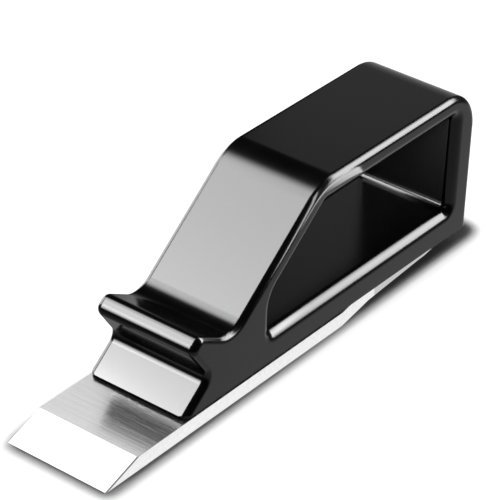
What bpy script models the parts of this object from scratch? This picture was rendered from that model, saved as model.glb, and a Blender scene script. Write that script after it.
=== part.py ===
"""Chisel plane: a one-piece handle with a finger window, screwed down onto a flat chisel blade.

X runs along the tool with the cutting edge towards -X, Y runs across it and Z is up.
The origin is on the bench, under the middle of the tool.
"""
import math

import bmesh
import bpy
from mathutils import Matrix, Vector, geometry

# Overall
TOOL_LENGTH = 0.1595
TOOL_WIDTH = 0.033

# Blade
BLADE_THICKNESS = 0.0044
BEVEL_LENGTH = 0.0122
EDGE_LAND = 0.00015
TAIL_SETBACK = 0.002
TAIL_LENGTH = 0.0425
TAIL_TAPER_LENGTH = 0.0155
TAIL_INSET = 0.0021
TAIL_NOSE_LENGTH = 0.022
TAIL_NOSE_INSET = 0.008

# Handle, measured from the face that sits on the blade
HANDLE_HEIGHT = 0.0463
HANDLE_SEAT_GAP = 0.0003
TOE_SETBACK = 0.0304
TOE_FACE_LENGTH = 0.01095
TOE_FOOT_LAND = 0.0014
FRONT_SLOPE = math.radians(39.5)
UNDERCUT_RADIUS = 0.003
LIP_RADIUS = 0.0026
LIP_FACE_LENGTH = 0.00115
LIP_SETBACK = 0.0036
LIP_HEIGHT = 0.0226
THUMB_REST_RADIUS = 0.0085
THUMB_REST_DEPTH = 0.0047
THUMB_REST_RUN = 0.0127
TOP_FRONT_RADIUS = 0.017
TOP_REAR_RADIUS = 0.013
SIDE_ROUND = 0.002
SIDE_ROUND_STEPS = 6
BOTTOM_CHAMFER = 0.0004

# Finger window through the handle
TOP_BAR = 0.0067
REAR_WALL = 0.0095
SLOPE_WALL = 0.0067
FLOOR_THICKNESS = 0.009
WINDOW_FRONT_RADIUS = 0.0082
WINDOW_CORNER_RADIUS = 0.002
WINDOW_RIM_ROUND = 0.0025
WINDOW_RIM_STEPS = 5

# Countersunk screws that hold the blade, driven from below
SCREW_DIAMETER = 0.0057
SCREW_HEAD_DIAMETER = 0.0114
SCREW_HEAD_RIM = 0.0004
SCREW_TIP_CHAMFER = 0.0006
SCREW_RECESS = 0.0003
SOCKET_ACROSS_FLATS = 0.004
SOCKET_DEPTH = 0.0022
FRONT_SCREW_SETBACK = 0.0296
REAR_SCREW_SETBACK = 0.0295
SCREW_CLEARANCE = 0.0003
FLOOR_OVER_SCREW = 0.0034
BORE_END_CLEARANCE = 0.001

# Fineness of the curves and of the cuts
ARC_STEP = math.radians(7.5)
SHARP_ANGLE = math.radians(30)
TURNED_SIDES = 32
CUT_OVERRUN = 0.004
CUT_SNAP = 0.0000001
ROUND_LIMIT = 0.9

EDGE_X = -TOOL_LENGTH / 2
REAR_X = TOOL_LENGTH / 2
HALF_WIDTH = TOOL_WIDTH / 2
SEAT_Z = BLADE_THICKNESS + HANDLE_SEAT_GAP
TOP_Z = SEAT_Z + HANDLE_HEIGHT
TOE_X = EDGE_X + TOE_SETBACK
SLOPE_ALONG = Vector((math.cos(FRONT_SLOPE), math.sin(FRONT_SLOPE)))
SLOPE_OUT = Vector((-math.sin(FRONT_SLOPE), math.cos(FRONT_SLOPE)))
FRONT_SCREW_X = TOE_X + FRONT_SCREW_SETBACK
REAR_SCREW_X = REAR_X - REAR_SCREW_SETBACK
SCREW_LENGTH = SEAT_Z + FLOOR_THICKNESS - FLOOR_OVER_SCREW - SCREW_RECESS
SCREW_RADIUS = SCREW_DIAMETER / 2
HEAD_RADIUS = SCREW_HEAD_DIAMETER / 2
CONE_HEIGHT = HEAD_RADIUS - SCREW_RADIUS
BORE_TOP_Z = SCREW_RECESS + SCREW_LENGTH + BORE_END_CLEARANCE


def clear_scene():
    for item in list(bpy.data.objects):
        bpy.data.objects.remove(item, do_unlink=True)


def make_material(name, color, metallic, roughness):
    material = bpy.data.materials.new(name)
    material.use_nodes = True
    shader = material.node_tree.nodes["Principled BSDF"]
    shader.inputs["Base Color"].default_value = (*color, 1.0)
    shader.inputs["Metallic"].default_value = metallic
    shader.inputs["Roughness"].default_value = roughness
    return material


def make_object(name, bm, material=None):
    """Turn the mesh into a named object, shaded smooth with crisp corners."""
    bmesh.ops.recalc_face_normals(bm, faces=bm.faces)
    mesh = bpy.data.meshes.new(name)
    bm.to_mesh(mesh)
    bm.free()
    mesh.shade_smooth()
    mesh.set_sharp_from_angle(angle=SHARP_ANGLE)
    item = bpy.data.objects.new(name, mesh)
    bpy.context.collection.objects.link(item)
    if material:
        mesh.materials.append(material)
    return item


def move_origin(item, point):
    """Put the object's origin on a point without moving its shape."""
    item.data.transform(Matrix.Translation(-Vector(point)))
    item.location = point


def cut(item, cutter):
    """Subtract a hidden cutter from an object."""
    cutter.hide_render = True
    cutter.display_type = "WIRE"
    boolean = item.modifiers.new("cut_" + cutter.name, "BOOLEAN")
    boolean.operation = "DIFFERENCE"
    boolean.solver = "EXACT"
    boolean.object = cutter


def right_of(angle):
    """Unit vector to the right of a direction of travel in the XZ plane."""
    return Vector((math.sin(angle), -math.cos(angle)))


def run_angle(first, second):
    """Direction of the straight run that touches two circles of signed radius."""
    between = second[0] - first[0]
    step = second[1] - first[1]
    length = math.sqrt(between.length_squared - step * step)
    return math.atan2(between.y, between.x) + math.atan2(step, length)


def belt_outline(circles):
    """Closed outline drawn like a belt around circles, clockwise with the inside on its right.

    A circle is a centre and a radius: positive for a rounded corner that the outline goes
    around, negative for a hollow that it dips into. Each point comes with its outward normal.
    """
    count = len(circles)
    runs = [run_angle(circles[i], circles[(i + 1) % count]) for i in range(count)]
    outline = []
    for i, (center, radius) in enumerate(circles):
        start = runs[i - 1]
        turn = (start - runs[i]) % math.tau if radius > 0 else -((runs[i] - start) % math.tau)
        steps = max(2, math.ceil(abs(turn) / ARC_STEP))
        for k in range(steps + 1):
            right = right_of(start - turn * k / steps)
            outline.append((center - right * radius, -right))
    return outline


def add_ring(bm, outline, shift, y):
    """Vertices of an outline, moved along its normals and placed across the tool."""
    ring = []
    for point, normal in outline:
        place = point + normal * shift
        ring.append(bm.verts.new((place.x, y, place.y)))
    return ring


def join_rings(bm, first, second):
    count = len(first)
    for i in range(count):
        k = (i + 1) % count
        bm.faces.new((first[i], first[k], second[k], second[i]))


def rounded_rows(radius, steps):
    """Pairs of place across the tool and distance drawn back, over both rounded side edges."""
    rows = []
    for k in range(steps + 1):
        angle = math.pi / 2 * (1 - k / steps)
        rows.append((-HALF_WIDTH + radius * (1 - math.sin(angle)), radius * (1 - math.cos(angle))))
    return rows + [(-y, back) for y, back in reversed(rows)]


def fill_side(bm, outer, inner):
    """Close the flat side between the outline of the handle and that of the window."""
    loops = [[vert.co for vert in outer], [vert.co for vert in inner]]
    verts = outer + inner
    for corner in geometry.tessellate_polygon(loops):
        bm.faces.new([verts[i] for i in corner])


def slice_off(bm, point, normal):
    """Remove everything on the side of a plane that its normal points to, and close the cut."""
    geom = bm.verts[:] + bm.edges[:] + bm.faces[:]
    result = bmesh.ops.bisect_plane(
        bm, geom=geom, dist=CUT_SNAP, plane_co=point, plane_no=normal, clear_outer=True
    )
    edges = [item for item in result["geom_cut"] if isinstance(item, bmesh.types.BMEdge)]
    bmesh.ops.holes_fill(bm, edges=edges, sides=0)


def turned_mesh(profile):
    """Solid of revolution about Z from radius and height pairs, listed from the bottom up."""
    bm = bmesh.new()
    rings = []
    for radius, z in profile:
        angles = [math.tau * k / TURNED_SIDES for k in range(TURNED_SIDES)]
        rings.append([bm.verts.new((radius * math.cos(a), radius * math.sin(a), z)) for a in angles])
    for first, second in zip(rings, rings[1:]):
        join_rings(bm, first, second)
    bm.faces.new(rings[0])
    bm.faces.new(rings[-1])
    return bm


def front_circles():
    """Circles of the handle's front, from the toe up to the top of the slope."""
    toe = Vector((TOE_X, SEAT_Z))
    undercut = toe + SLOPE_ALONG * TOE_FACE_LENGTH + SLOPE_OUT * UNDERCUT_RADIUS
    lip_top_z = SEAT_Z + LIP_HEIGHT
    nose_x = TOE_X + LIP_SETBACK + LIP_RADIUS
    crown = Vector((nose_x + SLOPE_ALONG.x * LIP_FACE_LENGTH, lip_top_z - LIP_RADIUS))
    nose = crown - SLOPE_ALONG * LIP_FACE_LENGTH
    rest = Vector((nose_x + THUMB_REST_RUN, lip_top_z - THUMB_REST_DEPTH + THUMB_REST_RADIUS))
    slope_foot = rest - SLOPE_OUT * THUMB_REST_RADIUS
    crest_base = slope_foot - SLOPE_OUT * TOP_FRONT_RADIUS
    rise = TOP_Z - TOP_FRONT_RADIUS - crest_base.y
    crest = crest_base + SLOPE_ALONG * (rise / SLOPE_ALONG.y)
    circles = [
        (undercut, -UNDERCUT_RADIUS),
        (nose, LIP_RADIUS),
        (crown, LIP_RADIUS),
        (rest, -THUMB_REST_RADIUS),
        (crest, TOP_FRONT_RADIUS),
    ]
    return circles, toe, slope_foot


def outer_outline(circles, toe, side_round):
    """Outline of the handle, run on below the seat with rounded corners that are cut off later."""
    corner_radius = 2 * side_round
    foot_base = toe - SLOPE_OUT * corner_radius
    foot = foot_base - SLOPE_ALONG * ((corner_radius + CUT_OVERRUN) / SLOPE_ALONG.y)
    top_rear = Vector((REAR_X - TOP_REAR_RADIUS, TOP_Z - TOP_REAR_RADIUS))
    heel = Vector((REAR_X - corner_radius, foot.y))
    rear = [(top_rear, TOP_REAR_RADIUS), (heel, corner_radius)]
    return belt_outline([(foot, corner_radius)] + circles + rear)


def window_outline(slope_foot):
    """Outline of the finger window at its narrowest, in the middle of the handle."""
    floor_z = SEAT_Z + FLOOR_THICKNESS
    roof_z = TOP_Z - TOP_BAR
    back_x = REAR_X - REAR_WALL
    corner = min(WINDOW_CORNER_RADIUS, ROUND_LIMIT * WINDOW_FRONT_RADIUS)

    def beside_slope(radius, z):
        inside = slope_foot - SLOPE_OUT * (SLOPE_WALL + radius)
        return inside + SLOPE_ALONG * ((z - inside.y) / SLOPE_ALONG.y)

    front = beside_slope(WINDOW_FRONT_RADIUS, floor_z + WINDOW_FRONT_RADIUS)
    top_front = beside_slope(corner, roof_z - corner)
    top_rear = Vector((back_x - corner, roof_z - corner))
    floor_rear = Vector((back_x - corner, floor_z + corner))
    floor_front = Vector((front.x - WINDOW_FRONT_RADIUS + corner, floor_z + corner))
    return belt_outline([
        (floor_front, corner),
        (front, WINDOW_FRONT_RADIUS),
        (top_front, corner),
        (top_rear, corner),
        (floor_rear, corner),
    ])


def screw_space(name, x):
    """Hidden cutter for one screw: its countersink and its hole, up to the blind end."""
    spread = SCREW_CLEARANCE * math.sqrt(2)
    hole_radius = SCREW_RADIUS + spread
    rim_top = SCREW_RECESS + SCREW_HEAD_RIM
    space = make_object(name, turned_mesh([
        (HEAD_RADIUS + spread, -CUT_OVERRUN),
        (HEAD_RADIUS + spread, rim_top),
        (hole_radius, rim_top + CONE_HEIGHT),
        (hole_radius, BORE_TOP_Z),
    ]))
    space.location.x = x
    return space


def build_handle(material, screw_spaces):
    circles, toe, slope_foot = front_circles()
    side_round = min(SIDE_ROUND, ROUND_LIMIT * LIP_RADIUS, ROUND_LIMIT * TOP_REAR_RADIUS)
    outer = outer_outline(circles, toe, side_round)
    window = window_outline(slope_foot)

    bm = bmesh.new()
    shell = [add_ring(bm, outer, -back, y) for y, back in rounded_rows(side_round, SIDE_ROUND_STEPS)]
    for first, second in zip(shell, shell[1:]):
        join_rings(bm, first, second)
    rim = [add_ring(bm, window, back, y) for y, back in rounded_rows(WINDOW_RIM_ROUND, WINDOW_RIM_STEPS)]
    for first, second in zip(rim, rim[1:]):
        join_rings(bm, second, first)
    fill_side(bm, shell[0], rim[0])
    fill_side(bm, shell[-1], rim[-1])

    slice_off(bm, (0, 0, SEAT_Z), (0, 0, -1))
    foot_x = TOE_X + TOE_FOOT_LAND / math.tan(FRONT_SLOPE)
    slice_off(bm, (foot_x, 0, SEAT_Z), (-1, 0, 0))
    for side in (-1, 1):
        slice_off(bm, (0, side * HALF_WIDTH, SEAT_Z + BOTTOM_CHAMFER), (0, side, -1))
    handle = make_object("handle_body", bm, material)
    move_origin(handle, (0, 0, SEAT_Z))

    for space in screw_spaces:
        cut(handle, space)
    return handle


def build_blade(material, screw_spaces):
    tail_half = HALF_WIDTH - TAIL_INSET
    nose_inset = min(TAIL_NOSE_INSET, ROUND_LIMIT * tail_half)
    nose_length = min(TAIL_NOSE_LENGTH, ROUND_LIMIT * TAIL_LENGTH)
    tail_x = REAR_X - TAIL_SETBACK
    narrow_x = tail_x - TAIL_LENGTH
    near_side = [
        (EDGE_X, -HALF_WIDTH),
        (narrow_x - TAIL_TAPER_LENGTH, -HALF_WIDTH),
        (narrow_x, -tail_half),
    ]
    steps = math.ceil(math.pi / 2 / ARC_STEP)
    for k in range(steps + 1):
        angle = math.pi / 2 * k / steps
        x = tail_x - nose_length * (1 - math.sin(angle))
        near_side.append((x, -tail_half + nose_inset * (1 - math.cos(angle))))
    far_side = [(x, -y) for x, y in reversed(near_side)]
    bm = bmesh.new()
    face = bm.faces.new([bm.verts.new((x, y, 0)) for x, y in near_side + far_side])
    raised = bmesh.ops.extrude_face_region(bm, geom=[face])["geom"]
    raised_verts = [item for item in raised if isinstance(item, bmesh.types.BMVert)]
    bmesh.ops.translate(bm, verts=raised_verts, vec=(0, 0, BLADE_THICKNESS))
    slice_off(bm, (EDGE_X, 0, EDGE_LAND), (EDGE_LAND - BLADE_THICKNESS, 0, BEVEL_LENGTH))
    blade = make_object("blade", bm, material)
    for space in screw_spaces:
        cut(blade, space)
    return blade


def build_screw(name, x, material):
    cone_top = SCREW_HEAD_RIM + CONE_HEIGHT
    screw = make_object(name, turned_mesh([
        (HEAD_RADIUS, 0),
        (HEAD_RADIUS, SCREW_HEAD_RIM),
        (SCREW_RADIUS, cone_top),
        (SCREW_RADIUS, SCREW_LENGTH - SCREW_TIP_CHAMFER),
        (SCREW_RADIUS - SCREW_TIP_CHAMFER, SCREW_LENGTH),
    ]), material)
    screw.location = (x, 0, SCREW_RECESS)

    bm = bmesh.new()
    corner = SOCKET_ACROSS_FLATS / math.sqrt(3)
    bmesh.ops.create_cone(
        bm, cap_ends=True, segments=6, radius1=corner, radius2=corner, depth=2 * SOCKET_DEPTH
    )
    socket = make_object(name + "_socket", bm)
    socket.location = screw.location
    cut(screw, socket)
    return screw


def main():
    clear_scene()
    anodised = make_material("black_anodised_aluminium", (0.012, 0.012, 0.013), 0.0, 0.32)
    steel = make_material("ground_steel", (0.72, 0.72, 0.72), 1.0, 0.3)
    black_oxide = make_material("black_oxide_steel", (0.03, 0.03, 0.035), 0.6, 0.4)
    front_space = screw_space("front_screw_space", FRONT_SCREW_X)
    rear_space = screw_space("rear_screw_space", REAR_SCREW_X)
    spaces = [front_space, rear_space]
    build_blade(steel, spaces)
    build_handle(anodised, spaces)
    build_screw("blade_screw_front", FRONT_SCREW_X, black_oxide)
    build_screw("blade_screw_rear", REAR_SCREW_X, black_oxide)


main()
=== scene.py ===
import math

import bmesh
import bpy
from mathutils import Matrix, Vector, geometry


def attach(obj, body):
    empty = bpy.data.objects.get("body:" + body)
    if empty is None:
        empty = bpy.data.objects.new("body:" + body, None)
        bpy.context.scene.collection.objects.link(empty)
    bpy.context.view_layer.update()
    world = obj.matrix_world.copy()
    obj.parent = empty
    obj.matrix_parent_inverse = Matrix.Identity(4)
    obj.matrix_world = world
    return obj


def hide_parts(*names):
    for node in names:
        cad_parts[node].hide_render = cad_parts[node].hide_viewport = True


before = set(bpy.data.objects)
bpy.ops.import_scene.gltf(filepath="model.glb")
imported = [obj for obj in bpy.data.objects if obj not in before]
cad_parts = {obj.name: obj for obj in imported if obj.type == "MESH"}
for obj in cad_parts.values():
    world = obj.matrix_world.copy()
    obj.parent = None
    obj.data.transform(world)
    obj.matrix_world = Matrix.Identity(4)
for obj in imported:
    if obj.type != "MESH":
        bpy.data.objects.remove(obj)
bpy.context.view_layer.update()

# Lengths are in metres. X runs along the tool from the cutting edge, Y across it, Z up.

# Blade
TOOL_LENGTH = 0.1595
TOOL_WIDTH = 0.033
BLADE_THICKNESS = 0.0044
BEVEL_LENGTH = 0.0122
EDGE_LAND = 0.00015
EDGE_CORNER_BREAK = 0.0002
TAIL_SETBACK = 0.002
TAIL_LENGTH = 0.0425
TAIL_TAPER_LENGTH = 0.0155
TAIL_INSET = 0.0021
TAIL_LEAN = 0.0015
TAIL_NOSE_LENGTH = 0.01575
TAIL_NOSE_INSET = 0.0065
BLADE_BREAK = 0.00012
BLADE_BREAK_ANGLE = math.radians(15)
GRAIN_UV_SCALE = 10

# Handle
HANDLE_HEIGHT = 0.0463
HANDLE_SEAT_GAP = 0.0003
TOE_SETBACK = 0.0304
TOE_FACE_LENGTH = 0.01095
TOE_FOOT_LAND = 0.0008
TOE_FOOT_LEAN = math.radians(42)
TOE_CORNER_RADIUS = 0.003
TOE_CORNER_CUTS = [math.radians(a) for a in (18, 36, 54, 72)]
FRONT_SLOPE = math.radians(39.5)
UNDERCUT_RADIUS = 0.003
LIP_RADIUS = 0.0026
LIP_FACE_LENGTH = 0.00115
LIP_SETBACK = 0.0036
LIP_HEIGHT = 0.0226
THUMB_REST_RADIUS = 0.0085
THUMB_REST_DEPTH = 0.0047
THUMB_REST_RUN = 0.0127
TOP_FRONT_RADIUS = 0.017
TOP_REAR_RADIUS = 0.013
SIDE_ROUND = 0.002
BOTTOM_CHAMFER = 0.0004
TOP_BAR = 0.0067
REAR_WALL = 0.0095
SLOPE_WALL = 0.0067
FLOOR_THICKNESS = 0.009
WINDOW_FRONT_RADIUS = 0.0082
WINDOW_CORNER_RADIUS = 0.002
WINDOW_RIM_ROUND = 0.0032
HANDLE_BREAK = 0.0002
HANDLE_BREAK_ANGLE = math.radians(25)

# Screws
SCREW_DIAMETER = 0.0057
SCREW_LENGTH = 0.01
SCREW_HEAD_DIAMETER = 0.0114
SCREW_HEAD_RIM = 0.0004
SCREW_RECESS = 0.0003
HEAD_BREAK = 0.0001
RIM_BREAK_IN = 0.00008
RIM_BREAK_UP = 0.00005
NECK_BREAK = 0.0002
COLLAR_START = 0.0001
COLLAR_END = 0.0003
ROOT_START = 0.0006
TIP_CHAMFER = 0.0004
SOCKET_ACROSS_FLATS = 0.004
SOCKET_DEPTH = 0.0022
FLARE_OUT = 0.0003
FLARE_IN = 0.0005
FLARE_DEPTH = 0.0005
FLARE_OVERRUN = 0.001
FRONT_SCREW_SETBACK = 0.0296
REAR_SCREW_SETBACK = 0.0295
SCREW_CLEARANCE = 0.0003
BORE_END_CLEARANCE = 0.001
SCREW_SHARP_ANGLE = math.radians(28)
THREAD_PITCH = 0.001
THREAD_DEPTH = 0.0005
THREAD_START = 0.0008
THREAD_END_GAP = 0.0005
THREAD_OVERLAP = 0.0001
THREAD_HALF_BASE = 0.44 * THREAD_PITCH
THREAD_HALF_TIP = 0.07 * THREAD_PITCH
THREAD_FADE_TURNS = 0.6
THREAD_LEAST_SHARE = 0.02

# Fineness of the meshes
ARC_STEP = math.radians(2.5)
ROUND_STEPS = 14
TURNED_SIDES = 96
THREAD_SIDES = 48
OVERRUN = 0.004

# Steel
STEEL_GREY = (0.80, 0.80, 0.80)
STEEL_ROUGHNESS = 0.21
STREAK_SHARE = 0.93
# Painted shade: from this x on, the steel colour is painted darker for the tail in the shade of the
# handle's overhang.
TAIL_SHADE_FROM = 0.0375
TAIL_SHADE_RUN = 0.001
TAIL_SHADE_SHARE = 0.6

# Stage. The flags' outlines go round in X and Y.
FLOOR_GAP = 0.0022
FLOOR_HALF = 6
BACKDROP_RADIUS = 2.9
BACKDROP_HEIGHT = 8
BACKDROP_SIDES = 64
STAGE_GREY = (0.8, 0.8, 0.8, 1)
WHITE = (1, 1, 1, 1)
LOW_FLAG_LIFT = 0.001
LOW_FLAG = [
    (-0.0790, -0.0155), (-0.068, -0.01685), (-0.009, -0.01615), (0.028, -0.01575),
    (0.064, -0.0156), (0.084, -0.0155), (0.0875, -0.0149), (0.0903, -0.013),
    (0.091, -0.01), (0.091, 0.0165), (-0.0790, 0.0165),
]
SOLE_FLAG = [
    (-0.07975, -0.0165), (-0.07575, -0.0176), (-0.01, -0.017), (0.027, -0.01664),
    (0.065, -0.01625), (0.084, -0.0162), (0.088, -0.0156), (0.0905, -0.014),
    (0.092, -0.0105), (0.092, 0.0217), (-0.0533, 0.0217), (-0.0698, 0.0202),
    (-0.075, 0.0195), (-0.078, 0.01835), (-0.07975, 0.0176),
]

# Lights. A ramp lists places along a light's width with the share of the radiance there.
LIGHT_CENTER = (0, 0, 0.02)
LIGHT_DISTANCE = 2.0
KEY_REACH = 0.862
KEY_LEAN = 0.507
KEY_TALL = 1.1
LIP_CENTER = (-0.0448, 0, 0.025)
REST_EDGE = (-0.030, -0.016, 0.023)
REST_DISTANCE = 0.06
PANEL_CENTER = (0.0927, -0.0274, -0.0375)
KEY_HIGH_RAMP = [(0.0, 0.0), (0.26, 0.36), (0.52, 0.8), (0.78, 0.97), (1.0, 1.0)]
KEY_MIDDLE_RAMP = [
    (0.0, 0.54), (0.35, 0.54), (0.46, 0.62), (0.53, 0.75), (0.57, 0.81), (0.7, 0.88), (1.0, 1.0),
]
KEY_LOW_RAMP = [
    (0.0, 0.85), (0.12, 0.88), (0.23, 1.0), (0.35, 0.92), (0.5, 0.79), (0.65, 0.6), (0.8, 0.42),
    (1.0, 0.16),
]
EDGE_RAMP = [
    (0.02, 0.0), (0.08, 0.08), (0.18, 0.37), (0.28, 0.63), (0.37, 0.88), (0.46, 1.0),
    (0.54, 1.0), (0.63, 0.88), (0.72, 0.66), (0.82, 0.28), (0.87, 0.06), (0.92, 0.0),
]
FADING_RAMP = [(0.0, 1.0), (1.0, 0.3)]
RIM_RAMP = [(0.0, 0.7), (0.2, 0.5), (0.45, 0.22), (0.8, 0.05), (1.0, 0.02)]
BLADE_RING = {0: 0.45, 60: 0.45, 120: 0.45, 180: 0.45, 240: 0.45, 300: 0.06}
RING_ELEVATION = 30

# Camera, fitted to the photo
SENSOR_WIDTH = 36
LENS = 201.597
CAMERA_PLACE = (-0.494485, -0.365340, 0.412590)
CAMERA_TURN = [math.radians(a) for a in (57.88033, -2.02927, -52.00004)]

EDGE_X = -TOOL_LENGTH / 2
REAR_X = TOOL_LENGTH / 2
HALF_WIDTH = TOOL_WIDTH / 2
TAIL_HALF = HALF_WIDTH - TAIL_INSET
SEAT_Z = BLADE_THICKNESS + HANDLE_SEAT_GAP
TOP_Z = SEAT_Z + HANDLE_HEIGHT
TOE_X = EDGE_X + TOE_SETBACK
SLOPE_ALONG = Vector((math.cos(FRONT_SLOPE), math.sin(FRONT_SLOPE)))
SLOPE_OUT = Vector((-math.sin(FRONT_SLOPE), math.cos(FRONT_SLOPE)))
SCREW_PLACES = {
    "front": TOE_X + FRONT_SCREW_SETBACK,
    "rear": REAR_X - REAR_SCREW_SETBACK,
}
SCREW_RADIUS = SCREW_DIAMETER / 2
HEAD_RADIUS = SCREW_HEAD_DIAMETER / 2
CONE_HEIGHT = HEAD_RADIUS - SCREW_RADIUS


# Mesh helpers

def make_object(name, bm):
    """Smooth object in the scene, made from a bmesh that is used up."""
    bmesh.ops.recalc_face_normals(bm, faces=bm.faces)
    mesh = bpy.data.meshes.new(name)
    bm.to_mesh(mesh)
    bm.free()
    mesh.shade_smooth()
    item = bpy.data.objects.new(name, mesh)
    bpy.context.scene.collection.objects.link(item)
    return item


def set_material(item, material):
    item.data.materials.clear()
    item.data.materials.append(material)


def subtract(item, cutters):
    """Cut hidden tools out of an object, keep the result and delete the tools."""
    for cutter in cutters:
        boolean = item.modifiers.new(cutter.name, "BOOLEAN")
        boolean.operation = "DIFFERENCE"
        boolean.solver = "EXACT"
        boolean.object = cutter
    bpy.context.view_layer.update()
    graph = bpy.context.evaluated_depsgraph_get()
    mesh = bpy.data.meshes.new_from_object(item.evaluated_get(graph))
    item.modifiers.clear()
    item.data = mesh
    for cutter in cutters:
        bpy.data.objects.remove(cutter, do_unlink=True)


def soften(item, width, angle, segments):
    """Break the sharp edges with a small round and keep the flats flat in the shading."""
    bevel = item.modifiers.new("edge_break", "BEVEL")
    bevel.width = width
    bevel.segments = segments
    bevel.limit_method = "ANGLE"
    bevel.angle_limit = angle
    item.modifiers.new("flat_shading", "WEIGHTED_NORMAL")


def right_of(angle):
    return Vector((math.sin(angle), -math.cos(angle)))


def run_angle(first, second):
    """Direction of the straight run of a belt from one circle to the next."""
    between = second[0] - first[0]
    step = second[1] - first[1]
    length = math.sqrt(between.length_squared - step * step)
    return math.atan2(between.y, between.x) + math.atan2(step, length)


def belt_outline(circles):
    """Closed outline drawn like a belt around circles, as points with their outward normals.

    A negative radius is a hollow.
    """
    count = len(circles)
    runs = [run_angle(circles[i], circles[(i + 1) % count]) for i in range(count)]
    outline = []
    for i, (center, radius) in enumerate(circles):
        start = runs[i - 1]
        turn = (start - runs[i]) % math.tau if radius > 0 else -((runs[i] - start) % math.tau)
        steps = max(3, math.ceil(abs(turn) / ARC_STEP))
        for k in range(steps + 1):
            right = right_of(start - turn * k / steps)
            outline.append((center - right * radius, -right))
    return outline


def add_ring(bm, outline, shift, y):
    """Copy of an outline at one y, moved along its normals."""
    ring = []
    for point, normal in outline:
        place = point + normal * shift
        ring.append(bm.verts.new((place.x, y, place.y)))
    return ring


def join_rings(bm, first, second):
    count = len(first)
    for i in range(count):
        k = (i + 1) % count
        bm.faces.new((first[i], first[k], second[k], second[i]))


def rounded_rows(radius):
    """Places across the tool with the setback that rounds its two sides."""
    rows = []
    for k in range(ROUND_STEPS + 1):
        angle = math.pi / 2 * (1 - k / ROUND_STEPS)
        y = -HALF_WIDTH + radius * (1 - math.sin(angle))
        rows.append((y, radius * (1 - math.cos(angle))))
    return rows + [(-y, back) for y, back in reversed(rows)]


def fill_side(bm, outer, inner):
    verts = outer + inner
    loops = [[vert.co for vert in outer], [vert.co for vert in inner]]
    for corner in geometry.tessellate_polygon(loops):
        bm.faces.new([verts[i] for i in corner])


def slice_off(bm, point, normal):
    """Take away what lies beyond a plane and close the cut."""
    geom = bm.verts[:] + bm.edges[:] + bm.faces[:]
    result = bmesh.ops.bisect_plane(
        bm, geom=geom, dist=1e-7, plane_co=point, plane_no=normal, clear_outer=True
    )
    edges = [item for item in result["geom_cut"] if isinstance(item, bmesh.types.BMEdge)]
    bmesh.ops.holes_fill(bm, edges=edges, sides=0)


def turned_mesh(profile):
    """Solid turned about Z from a list of radii and heights."""
    bm = bmesh.new()
    angles = [math.tau * k / TURNED_SIDES for k in range(TURNED_SIDES)]
    rings = []
    for radius, z in profile:
        rings.append([
            bm.verts.new((radius * math.cos(a), radius * math.sin(a), z)) for a in angles
        ])
    for first, second in zip(rings, rings[1:]):
        join_rings(bm, first, second)
    bm.faces.new(rings[0])
    bm.faces.new(rings[-1])
    return bm


def screw_spaces():
    """Countersinks and holes that the screws take in the blade and the handle."""
    spread = SCREW_CLEARANCE * math.sqrt(2)
    hole_radius = SCREW_RADIUS + spread
    rim_top = SCREW_RECESS + SCREW_HEAD_RIM
    spaces = []
    for x in SCREW_PLACES.values():
        space = make_object("screw_space", turned_mesh([
            (HEAD_RADIUS + spread, -OVERRUN),
            (HEAD_RADIUS + spread, rim_top),
            (hole_radius, rim_top + CONE_HEIGHT),
            (hole_radius, SCREW_RECESS + SCREW_LENGTH + BORE_END_CLEARANCE),
        ]))
        space.location.x = x
        spaces.append(space)
    return spaces


# Materials

def node_material(name, settings):
    """Material whose shader has some of its inputs set."""
    material = bpy.data.materials.new(name)
    material.use_nodes = True
    tree = material.node_tree
    shader = tree.nodes["Principled BSDF"]
    set_inputs(shader, settings)
    return material, tree, shader


def set_inputs(node, settings):
    for name, value in settings.items():
        node.inputs[name].default_value = value


def add_node(tree, kind, settings):
    node = tree.nodes.new(kind)
    set_inputs(node, settings)
    return node


def object_place(tree):
    return tree.nodes.new("ShaderNodeTexCoord").outputs["Object"]


def split_axes(tree, vector):
    node = tree.nodes.new("ShaderNodeSeparateXYZ")
    tree.links.new(vector, node.inputs["Vector"])
    return node.outputs


def noise(tree, vector, scale, detail):
    node = add_node(tree, "ShaderNodeTexNoise", {
        "Scale": scale, "Detail": detail, "Roughness": 0.6,
    })
    tree.links.new(vector, node.inputs["Vector"])
    return node.outputs["Fac"]


def stretched(tree, vector, scale):
    mapping = add_node(tree, "ShaderNodeMapping", {"Scale": scale})
    tree.links.new(vector, mapping.inputs["Vector"])
    return mapping.outputs["Vector"]


def remap(tree, value, low, high, from_low=0.3, from_high=0.7):
    node = add_node(tree, "ShaderNodeMapRange", {
        "From Min": from_low, "From Max": from_high, "To Min": low, "To Max": high,
    })
    tree.links.new(value, node.inputs["Value"])
    return node.outputs["Result"]


def mix_color(tree, factor, first, second):
    """Mix of two colours. Each is three numbers or another node's output."""
    node = tree.nodes.new("ShaderNodeMix")
    node.data_type = "RGBA"
    sockets = [socket for socket in node.inputs if socket.type == "RGBA"]
    for socket, color in zip(sockets, (first, second)):
        if isinstance(color, bpy.types.NodeSocket):
            tree.links.new(color, socket)
        else:
            socket.default_value = (*color, 1)
    tree.links.new(factor, node.inputs["Factor"])
    return [socket for socket in node.outputs if socket.type == "RGBA"][0]


def add_bump(tree, shader, height, strength, distance):
    bump = add_node(tree, "ShaderNodeBump", {"Strength": strength, "Distance": distance})
    tree.links.new(height, bump.inputs["Height"])
    tree.links.new(bump.outputs["Normal"], shader.inputs["Normal"])


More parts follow.
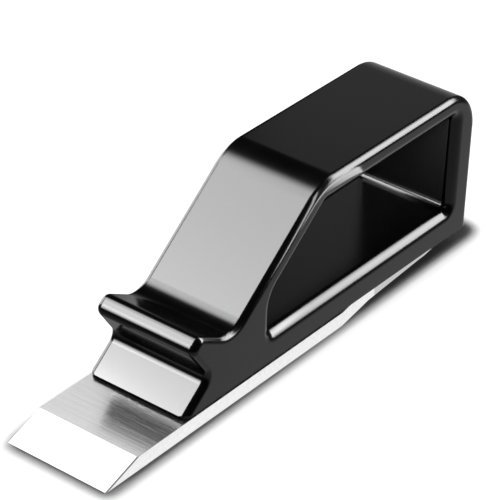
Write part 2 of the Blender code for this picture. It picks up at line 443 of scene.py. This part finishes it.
def anodised_material():
    """Black anodised aluminium: fine blasted grain under a satin oxide skin."""
    material, tree, shader = node_material("anodised_black", {"IOR": 1.22})
    place = object_place(tree)
    grain = noise(tree, place, scale=5200, detail=2.0)
    cloud = noise(tree, place, scale=70, detail=4.0)
    color = mix_color(
        tree, remap(tree, cloud, 0, 1), (0.00012, 0.00012, 0.00013), (0.00022, 0.00022, 0.00023)
    )
    tree.links.new(color, shader.inputs["Base Color"])
    tree.links.new(remap(tree, cloud, low=0.165, high=0.19), shader.inputs["Roughness"])
    add_bump(tree, shader, grain, strength=0.10, distance=0.00002)
    return material


def steel_material():
    """Bare ground steel with grinding marks across the blade, and painted shade that darkens the
    tail under the handle.
    """
    material, tree, shader = node_material("ground_steel", {"Metallic": 1.0, "Anisotropic": 0.6})
    place = object_place(tree)
    fine = noise(tree, stretched(tree, place, (9000, 45, 9000)), scale=1.0, detail=3.0)
    broad = noise(tree, stretched(tree, place, (900, 18, 900)), scale=1.0, detail=2.0)
    streaked = mix_color(
        tree, remap(tree, broad, 0, 1), [STREAK_SHARE * c for c in STEEL_GREY], STEEL_GREY
    )
    x = split_axes(tree, place)["X"]
    # Painted shade: the tail under the handle's overhang is painted darker, in place of the
    # shadowed floor it would reflect.
    tail = remap(tree, x, 0, 1, from_low=TAIL_SHADE_FROM, from_high=TAIL_SHADE_FROM + TAIL_SHADE_RUN)
    color = mix_color(tree, tail, streaked, [TAIL_SHADE_SHARE * c for c in STEEL_GREY])
    tree.links.new(color, shader.inputs["Base Color"])
    roughness = remap(tree, fine, low=STEEL_ROUGHNESS - 0.05, high=STEEL_ROUGHNESS + 0.07)
    tree.links.new(roughness, shader.inputs["Roughness"])
    tangent = tree.nodes.new("ShaderNodeTangent")
    tangent.direction_type = "UV_MAP"
    tangent.uv_map = "grain"
    tree.links.new(tangent.outputs["Tangent"], shader.inputs["Tangent"])
    add_bump(tree, shader, fine, strength=0.35, distance=0.000008)
    return material


def oxide_material():
    """Black oxide on the screws, a little browned and dull."""
    material, tree, shader = node_material("screw_black_oxide", {"Metallic": 0.6})
    place = object_place(tree)
    cloud = noise(tree, place, scale=600, detail=4.0)
    color = mix_color(
        tree, remap(tree, cloud, 0, 1), (0.018, 0.018, 0.02), (0.035, 0.034, 0.034)
    )
    tree.links.new(color, shader.inputs["Base Color"])
    tree.links.new(remap(tree, cloud, low=0.32, high=0.48), shader.inputs["Roughness"])
    grain = noise(tree, place, scale=4000, detail=2.0)
    add_bump(tree, shader, grain, strength=0.1, distance=0.00002)
    return material


# Pieces

def front_circles():
    """Circles of the handle's front, from the undercut to the crest, seen from the near side."""
    toe = Vector((TOE_X, SEAT_Z))
    undercut = toe + SLOPE_ALONG * TOE_FACE_LENGTH + SLOPE_OUT * UNDERCUT_RADIUS
    lip_top_z = SEAT_Z + LIP_HEIGHT
    nose_x = TOE_X + LIP_SETBACK + LIP_RADIUS
    crown = Vector((nose_x + SLOPE_ALONG.x * LIP_FACE_LENGTH, lip_top_z - LIP_RADIUS))
    nose = crown - SLOPE_ALONG * LIP_FACE_LENGTH
    rest_z = lip_top_z - THUMB_REST_DEPTH + THUMB_REST_RADIUS
    rest = Vector((nose_x + THUMB_REST_RUN, rest_z))
    slope_foot = rest - SLOPE_OUT * THUMB_REST_RADIUS
    crest_base = slope_foot - SLOPE_OUT * TOP_FRONT_RADIUS
    rise = TOP_Z - TOP_FRONT_RADIUS - crest_base.y
    crest = crest_base + SLOPE_ALONG * (rise / SLOPE_ALONG.y)
    circles = [
        (undercut, -UNDERCUT_RADIUS),
        (nose, LIP_RADIUS),
        (crown, LIP_RADIUS),
        (rest, -THUMB_REST_RADIUS),
        (crest, TOP_FRONT_RADIUS),
    ]
    return circles, toe, slope_foot


def outer_outline(circles, toe):
    """Outline of the handle, run on below its sole, where it is cut off."""
    corner_radius = 2 * SIDE_ROUND
    foot_base = toe - SLOPE_OUT * corner_radius
    foot = foot_base - SLOPE_ALONG * ((corner_radius + OVERRUN) / SLOPE_ALONG.y)
    top_rear = Vector((REAR_X - TOP_REAR_RADIUS, TOP_Z - TOP_REAR_RADIUS))
    heel = Vector((REAR_X - corner_radius, foot.y))
    rear = [(top_rear, TOP_REAR_RADIUS), (heel, corner_radius)]
    return belt_outline([(foot, corner_radius)] + circles + rear)


def window_outline(slope_foot):
    floor_z = SEAT_Z + FLOOR_THICKNESS
    roof_z = TOP_Z - TOP_BAR
    back_x = REAR_X - REAR_WALL
    corner = WINDOW_CORNER_RADIUS

    def beside_slope(radius, z):
        inside = slope_foot - SLOPE_OUT * (SLOPE_WALL + radius)
        return inside + SLOPE_ALONG * ((z - inside.y) / SLOPE_ALONG.y)

    front = beside_slope(WINDOW_FRONT_RADIUS, floor_z + WINDOW_FRONT_RADIUS)
    top_front = beside_slope(corner, roof_z - corner)
    top_rear = Vector((back_x - corner, roof_z - corner))
    floor_rear = Vector((back_x - corner, floor_z + corner))
    floor_front = Vector((front.x - WINDOW_FRONT_RADIUS + corner, floor_z + corner))
    return belt_outline([
        (floor_front, corner),
        (front, WINDOW_FRONT_RADIUS),
        (top_front, corner),
        (top_rear, corner),
        (floor_rear, corner),
    ])


def cut_toe_foot(bm):
    """Lean the foot of the toe back and round its two corners in plan."""
    foot_x = TOE_X + TOE_FOOT_LAND / math.tan(FRONT_SLOPE)
    lean = math.tan(TOE_FOOT_LEAN)
    slice_off(bm, (foot_x, 0, SEAT_Z + TOE_FOOT_LAND), (-1, 0, -lean))
    for side in (-1, 1):
        center_y = side * (HALF_WIDTH - TOE_CORNER_RADIUS)
        center = Vector((foot_x + TOE_CORNER_RADIUS, center_y, SEAT_Z))
        for angle in TOE_CORNER_CUTS:
            out = Vector((-math.cos(angle), side * math.sin(angle), 0))
            slice_off(bm, center + out * TOE_CORNER_RADIUS, out)


def build_handle(material):
    circles, toe, slope_foot = front_circles()
    outer = outer_outline(circles, toe)
    window = window_outline(slope_foot)
    bm = bmesh.new()
    shell = [add_ring(bm, outer, -back, y) for y, back in rounded_rows(SIDE_ROUND)]
    for first, second in zip(shell, shell[1:]):
        join_rings(bm, first, second)
    rim = [add_ring(bm, window, back, y) for y, back in rounded_rows(WINDOW_RIM_ROUND)]
    for first, second in zip(rim, rim[1:]):
        join_rings(bm, second, first)
    fill_side(bm, shell[0], rim[0])
    fill_side(bm, shell[-1], rim[-1])
    slice_off(bm, (0, 0, SEAT_Z), (0, 0, -1))
    cut_toe_foot(bm)
    for side in (-1, 1):
        slice_off(bm, (0, side * HALF_WIDTH, SEAT_Z + BOTTOM_CHAMFER), (0, side, -1))
    handle = make_object("handle", bm)
    subtract(handle, screw_spaces())
    set_material(handle, material)
    soften(handle, HANDLE_BREAK, HANDLE_BREAK_ANGLE, segments=3)
    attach(handle, "handle")
    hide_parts("handle_body")


def blade_outline():
    """Outline of the blade in plan, from the cutting edge round the tail and back."""
    tail_x = REAR_X - TAIL_SETBACK
    narrow_x = tail_x - TAIL_LENGTH
    near_side = [
        (EDGE_X, -HALF_WIDTH),
        (narrow_x - TAIL_TAPER_LENGTH, -HALF_WIDTH),
        (narrow_x, -TAIL_HALF),
    ]
    steps = math.ceil(math.pi / 2 / ARC_STEP)
    for k in range(steps + 1):
        angle = math.pi / 2 * k / steps
        x = tail_x - TAIL_NOSE_LENGTH * (1 - math.sin(angle))
        y = -TAIL_HALF + TAIL_LEAN + TAIL_NOSE_INSET * (1 - math.cos(angle))
        near_side.append((x, y))
    return near_side + [(x, -y) for x, y in reversed(near_side)]


def build_blade(material):
    bm = bmesh.new()
    sole = bm.faces.new([bm.verts.new((x, y, 0)) for x, y in blade_outline()])
    raised = bmesh.ops.extrude_face_region(bm, geom=[sole])["geom"]
    raised_verts = [item for item in raised if isinstance(item, bmesh.types.BMVert)]
    bmesh.ops.translate(bm, verts=raised_verts, vec=(0, 0, BLADE_THICKNESS))
    bevel_out = Vector((EDGE_LAND - BLADE_THICKNESS, 0, BEVEL_LENGTH)).normalized()
    slice_off(bm, (EDGE_X, 0, EDGE_LAND), bevel_out)
    for side in (-1, 1):
        out = (bevel_out + Vector((0, side, 0))).normalized()
        corner = Vector((EDGE_X, side * HALF_WIDTH, EDGE_LAND))
        slice_off(bm, corner - out * EDGE_CORNER_BREAK, out)
    blade = make_object("blade_ground", bm)
    subtract(blade, screw_spaces())
    uv = blade.data.uv_layers.new(name="grain")
    for loop in blade.data.loops:
        place = blade.data.vertices[loop.vertex_index].co
        uv.data[loop.index].uv = (place.x * GRAIN_UV_SCALE + place.z, place.y * GRAIN_UV_SCALE)
    set_material(blade, material)
    soften(blade, BLADE_BREAK, BLADE_BREAK_ANGLE, segments=2)
    blade.visible_diffuse = False
    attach(blade, "blade")
    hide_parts("blade")
    return blade


def add_thread(bm, start_z, end_z, root, crest):
    """Helical ridge on the shank, run out to nothing at both ends."""
    total = int(THREAD_SIDES * (end_z - start_z) / THREAD_PITCH)
    fade_steps = THREAD_SIDES * THREAD_FADE_TURNS
    inner = root - THREAD_OVERLAP
    rows = []
    for j in range(total + 1):
        angle = math.tau * j / THREAD_SIDES
        z = start_z + THREAD_PITCH * j / THREAD_SIDES
        share = min(1, j / fade_steps, (total - j) / fade_steps)
        height = root + (crest - root) * max(share, THREAD_LEAST_SHARE)
        section = [
            (inner, -THREAD_HALF_BASE),
            (height, -THREAD_HALF_TIP),
            (height, THREAD_HALF_TIP),
            (inner, THREAD_HALF_BASE),
        ]
        rows.append([
            bm.verts.new((r * math.cos(angle), r * math.sin(angle), z + dz)) for r, dz in section
        ])
    for first, second in zip(rows, rows[1:]):
        join_rings(bm, first, second)
    bm.faces.new(rows[0])
    bm.faces.new(rows[-1])


def socket_cutters():
    """Hexagon of the socket and the flare at its mouth."""
    corner = SOCKET_ACROSS_FLATS / math.sqrt(3)
    hexagon = bmesh.new()
    bmesh.ops.create_cone(
        hexagon, cap_ends=True, segments=6, radius1=corner, radius2=corner, depth=2 * SOCKET_DEPTH
    )
    flare = turned_mesh([
        (corner + FLARE_OUT, -FLARE_OVERRUN),
        (corner + FLARE_OUT, 0),
        (corner - FLARE_IN, FLARE_DEPTH),
    ])
    return [make_object("socket", hexagon), make_object("socket_flare", flare)]


def build_screw(end, material):
    cone_top = SCREW_HEAD_RIM + CONE_HEIGHT
    root = SCREW_RADIUS - THREAD_DEPTH
    screw = make_object("screw_" + end, turned_mesh([
        (HEAD_RADIUS - HEAD_BREAK, 0),
        (HEAD_RADIUS, HEAD_BREAK),
        (HEAD_RADIUS, SCREW_HEAD_RIM - HEAD_BREAK),
        (HEAD_RADIUS - RIM_BREAK_IN, SCREW_HEAD_RIM + RIM_BREAK_UP),
        (SCREW_RADIUS + NECK_BREAK, cone_top - NECK_BREAK),
        (SCREW_RADIUS, cone_top + COLLAR_START),
        (SCREW_RADIUS, cone_top + COLLAR_END),
        (root, cone_top + ROOT_START),
        (root, SCREW_LENGTH - TIP_CHAMFER),
        (root - TIP_CHAMFER, SCREW_LENGTH),
    ]))
    subtract(screw, socket_cutters())
    bm = bmesh.new()
    bm.from_mesh(screw.data)
    add_thread(bm, cone_top + THREAD_START, SCREW_LENGTH - THREAD_END_GAP, root, SCREW_RADIUS)
    bmesh.ops.recalc_face_normals(bm, faces=bm.faces)
    bm.to_mesh(screw.data)
    bm.free()
    screw.data.shade_smooth()
    screw.data.set_sharp_from_angle(angle=SCREW_SHARP_ANGLE)
    set_material(screw, material)
    screw.location = (SCREW_PLACES[end], 0, SCREW_RECESS)
    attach(screw, "screw_" + end)
    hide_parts("blade_screw_" + end)


# Stage

def show_to(item, rays):
    """Keep an object out of sight of every kind of ray except these."""
    for ray in ("camera", "diffuse", "glossy", "transmission", "volume_scatter", "shadow"):
        setattr(item, "visible_" + ray, ray in rays)


def build_floor():
    bm = bmesh.new()
    bmesh.ops.create_grid(bm, x_segments=1, y_segments=1, size=FLOOR_HALF)
    floor = make_object("floor", bm)
    set_material(floor, node_material("pale_floor", {
        "Base Color": STAGE_GREY, "Roughness": 0.9, "Specular IOR Level": 0.2,
    })[0])
    floor.location.z = -FLOOR_GAP
    floor.visible_glossy = False
    return floor


def build_backdrop():
    """White wall around the floor, which only the camera sees."""
    bm = bmesh.new()
    bmesh.ops.create_cone(
        bm, segments=BACKDROP_SIDES, radius1=BACKDROP_RADIUS, radius2=BACKDROP_RADIUS,
        depth=BACKDROP_HEIGHT,
    )
    backdrop = make_object("backdrop", bm)
    set_material(backdrop, node_material("backdrop_white", {
        "Base Color": STAGE_GREY, "Emission Color": WHITE, "Emission Strength": 1.0,
    })[0])
    show_to(backdrop, ["camera"])


def build_flag():
    """Three thin unseen plates, which alone shade the floor.

    They lie just over the floor, at the blade's sole and at the handle's sole.
    """
    seat_flag = [
        (TOE_X, -TAIL_HALF), (REAR_X, -TAIL_HALF), (REAR_X, TAIL_HALF), (TOE_X, TAIL_HALF),
    ]
    plates = {LOW_FLAG_LIFT - FLOOR_GAP: LOW_FLAG, 0: SOLE_FLAG, SEAT_Z: seat_flag}
    bm = bmesh.new()
    for z, outline in plates.items():
        bm.faces.new([bm.verts.new((x, y, z)) for x, y in outline])
    flag = make_object("flag", bm)
    show_to(flag, ["shadow"])
    return flag


# Lights

def direction(azimuth, elevation):
    """Unit vector at degrees about Z from +X and degrees above the floor."""
    around = math.radians(azimuth)
    above = math.radians(elevation)
    level = math.cos(above)
    return Vector((level * math.cos(around), level * math.sin(around), math.sin(above)))


def shade_along(light, ramp):
    """Vary a light's radiance along its width."""
    light.use_nodes = True
    tree = light.node_tree
    place = tree.nodes.new("ShaderNodeNewGeometry").outputs["Parametric"]
    shade = tree.nodes.new("ShaderNodeValToRGB")
    stops = shade.color_ramp.elements
    while len(stops) < len(ramp):
        stops.new(0.5)
    for stop, (position, share) in zip(stops, ramp):
        stop.position = position
        stop.color = (share, share, share, 1)
    tree.links.new(split_axes(tree, place)["X"], shade.inputs["Fac"])
    tree.links.new(shade.outputs["Color"], tree.nodes["Emission"].inputs["Color"])


def softbox(name, toward, across, wide, tall, radiance,
            center=LIGHT_CENTER, distance=LIGHT_DISTANCE, ramp=None):
    """Rectangular studio light that faces a center. Its width lies along the direction across."""
    light = bpy.data.lights.new(name, "AREA")
    light.shape = "RECTANGLE"
    light.size = wide
    light.size_y = tall
    light.energy = math.pi * wide * tall * radiance
    item = bpy.data.objects.new(name, light)
    bpy.context.scene.collection.objects.link(item)
    back = Vector(toward).normalized()
    side = Vector(across)
    side = (side - back * side.dot(back)).normalized()
    rotation = Matrix((side, back.cross(side), back)).transposed()
    item.location = Vector(center) + back * distance
    item.rotation_euler = rotation.to_euler()
    item.visible_camera = False
    if ramp:
        shade_along(light, ramp)
    return item


def key_segment(name, start, end, radiance, ramp,
                center=LIGHT_CENTER, distance=LIGHT_DISTANCE, tall=KEY_TALL):
    """One softbox of the key light, which arches over the far side of the tool.

    It fills the arch between two angles about Y, seen from its center.
    """
    turn = math.radians((start + end) / 2)
    toward = (KEY_REACH * math.cos(turn), KEY_LEAN, KEY_REACH * math.sin(turn))
    across = (-math.sin(turn), 0, math.cos(turn))
    half_angle = KEY_REACH * math.radians(end - start) / 2
    wide = 2 * distance * math.tan(half_angle)
    return softbox(name, toward, across, wide, tall, radiance, center, distance, ramp)


def link_light(name, lights, pieces, state):
    """Let lights shine on these pieces only, or on everything except them."""
    group = bpy.data.collections.new(name)
    for item in pieces:
        group.objects.link(item)
    for entry in group.collection_objects:
        entry.light_linking.link_state = state
    for light in lights:
        light.light_linking.receiver_collection = group


def build_world():
    """Pale light from below and dim light from above, dimmer on the far side."""
    world = bpy.data.worlds.new("studio")
    bpy.context.scene.world = world
    world.use_nodes = True
    tree = world.node_tree
    toward = split_axes(tree, tree.nodes.new("ShaderNodeTexCoord").outputs["Generated"])
    strength = remap(tree, toward["Z"], low=1.15, high=0.07, from_low=-0.45, from_high=-0.2)
    share = remap(tree, toward["Y"], low=1, high=0.4, from_low=0.1, from_high=0.35)
    product = tree.nodes.new("ShaderNodeMath")
    product.operation = "MULTIPLY"
    tree.links.new(strength, product.inputs[0])
    tree.links.new(share, product.inputs[1])
    background = tree.nodes["Background"]
    background.inputs["Color"].default_value = WHITE
    tree.links.new(product.outputs["Value"], background.inputs["Strength"])


def handle_softboxes():
    """Key light for the slope and the toe, edge lights for the rounds, a panel in the window."""
    return [
        key_segment("key_high", start=84, end=107, radiance=41, ramp=KEY_HIGH_RAMP),
        key_segment("key_middle", start=107, end=131, radiance=76, ramp=KEY_MIDDLE_RAMP),
        key_segment("key_low", start=130, end=170, radiance=76, ramp=KEY_LOW_RAMP,
                    center=LIP_CENTER, distance=0.15, tall=0.08),
        softbox("edge", direction(-35, 30), across=(0, -0.69, -0.72), wide=3.6, tall=0.6,
                radiance=48, ramp=EDGE_RAMP),
        softbox("edge_low", direction(-26, 19), across=(0.312, 0.357, -0.463), wide=0.3, tall=1.6,
                radiance=34, ramp=FADING_RAMP),
        softbox("rest_right", direction(-48, 31), across=(0.844, 0.474, -0.242), wide=0.012,
                tall=0.06, radiance=40, center=REST_EDGE, distance=REST_DISTANCE),
        softbox("rest_left", direction(-20, 14), across=(0.362, 0.441, -0.821), wide=0.012,
                tall=0.036, radiance=28, center=REST_EDGE, distance=REST_DISTANCE,
                ramp=FADING_RAMP),
        softbox("rim", (0.205, 0.977, 0.059), across=(0.63, 0, -0.76), wide=2.75, tall=1.0,
                radiance=46, ramp=RIM_RAMP),
        softbox("panel", direction(33, 16), across=(-0.545, 0.839, 0), wide=0.222, tall=0.538,
                radiance=0.62, center=PANEL_CENTER, distance=0.5),
    ]


def blade_softboxes():
    lights = [
        softbox("blade_top", (0, 0, 1), across=(1, 0, 0), wide=2.4, tall=2.4, radiance=0.5),
        softbox("blade_front", direction(68, 57), across=(-0.93, 0.37, 0), wide=1.4, tall=1.4,
                radiance=1.0),
        softbox("blade_back", direction(112, 42), across=(-0.93, -0.37, 0), wide=2.4, tall=1.6,
                radiance=1.2),
    ]
    for azimuth, radiance in BLADE_RING.items():
        lights.append(softbox("blade_ring", direction(azimuth, RING_ELEVATION),
                              across=direction(azimuth + 90, 0), wide=2.3, tall=2.3,
                              radiance=radiance))
    return lights


def build_lights(floor, flag, blade):
    """Separate lights for the handle, the blade and the floor, which the flag alone shades."""
    handle_lights = handle_softboxes()
    blade_lights = blade_softboxes()
    wash = softbox("wash", (0, 0, 1), across=(1, 0, 0), wide=9, tall=9, radiance=1.64, distance=1.5)
    wash.data.cycles.use_multiple_importance_sampling = False
    link_light("floor_light", [wash], [floor], "INCLUDE")
    shade = bpy.data.collections.new("floor_shade")
    shade.objects.link(flag)
    wash.light_linking.blocker_collection = shade
    link_light("handle_light", handle_lights, [floor, blade], "EXCLUDE")
    link_light("blade_light", blade_lights, [blade], "INCLUDE")


def build_camera():
    camera = bpy.data.cameras.new("camera")
    camera.sensor_fit = "HORIZONTAL"
    camera.sensor_width = SENSOR_WIDTH
    camera.lens = LENS
    item = bpy.data.objects.new("camera", camera)
    bpy.context.scene.collection.objects.link(item)
    item.location = CAMERA_PLACE
    item.rotation_euler = CAMERA_TURN
    bpy.context.scene.camera = item


anodised = anodised_material()
ground_steel = steel_material()
black_oxide = oxide_material()
build_handle(anodised)
blade = build_blade(ground_steel)
build_screw("front", black_oxide)
build_screw("rear", black_oxide)
build_backdrop()
floor = build_floor()
flag = build_flag()
build_world()
build_lights(floor, flag, blade)
build_camera()
bpy.context.scene.view_settings.view_transform = "Standard"
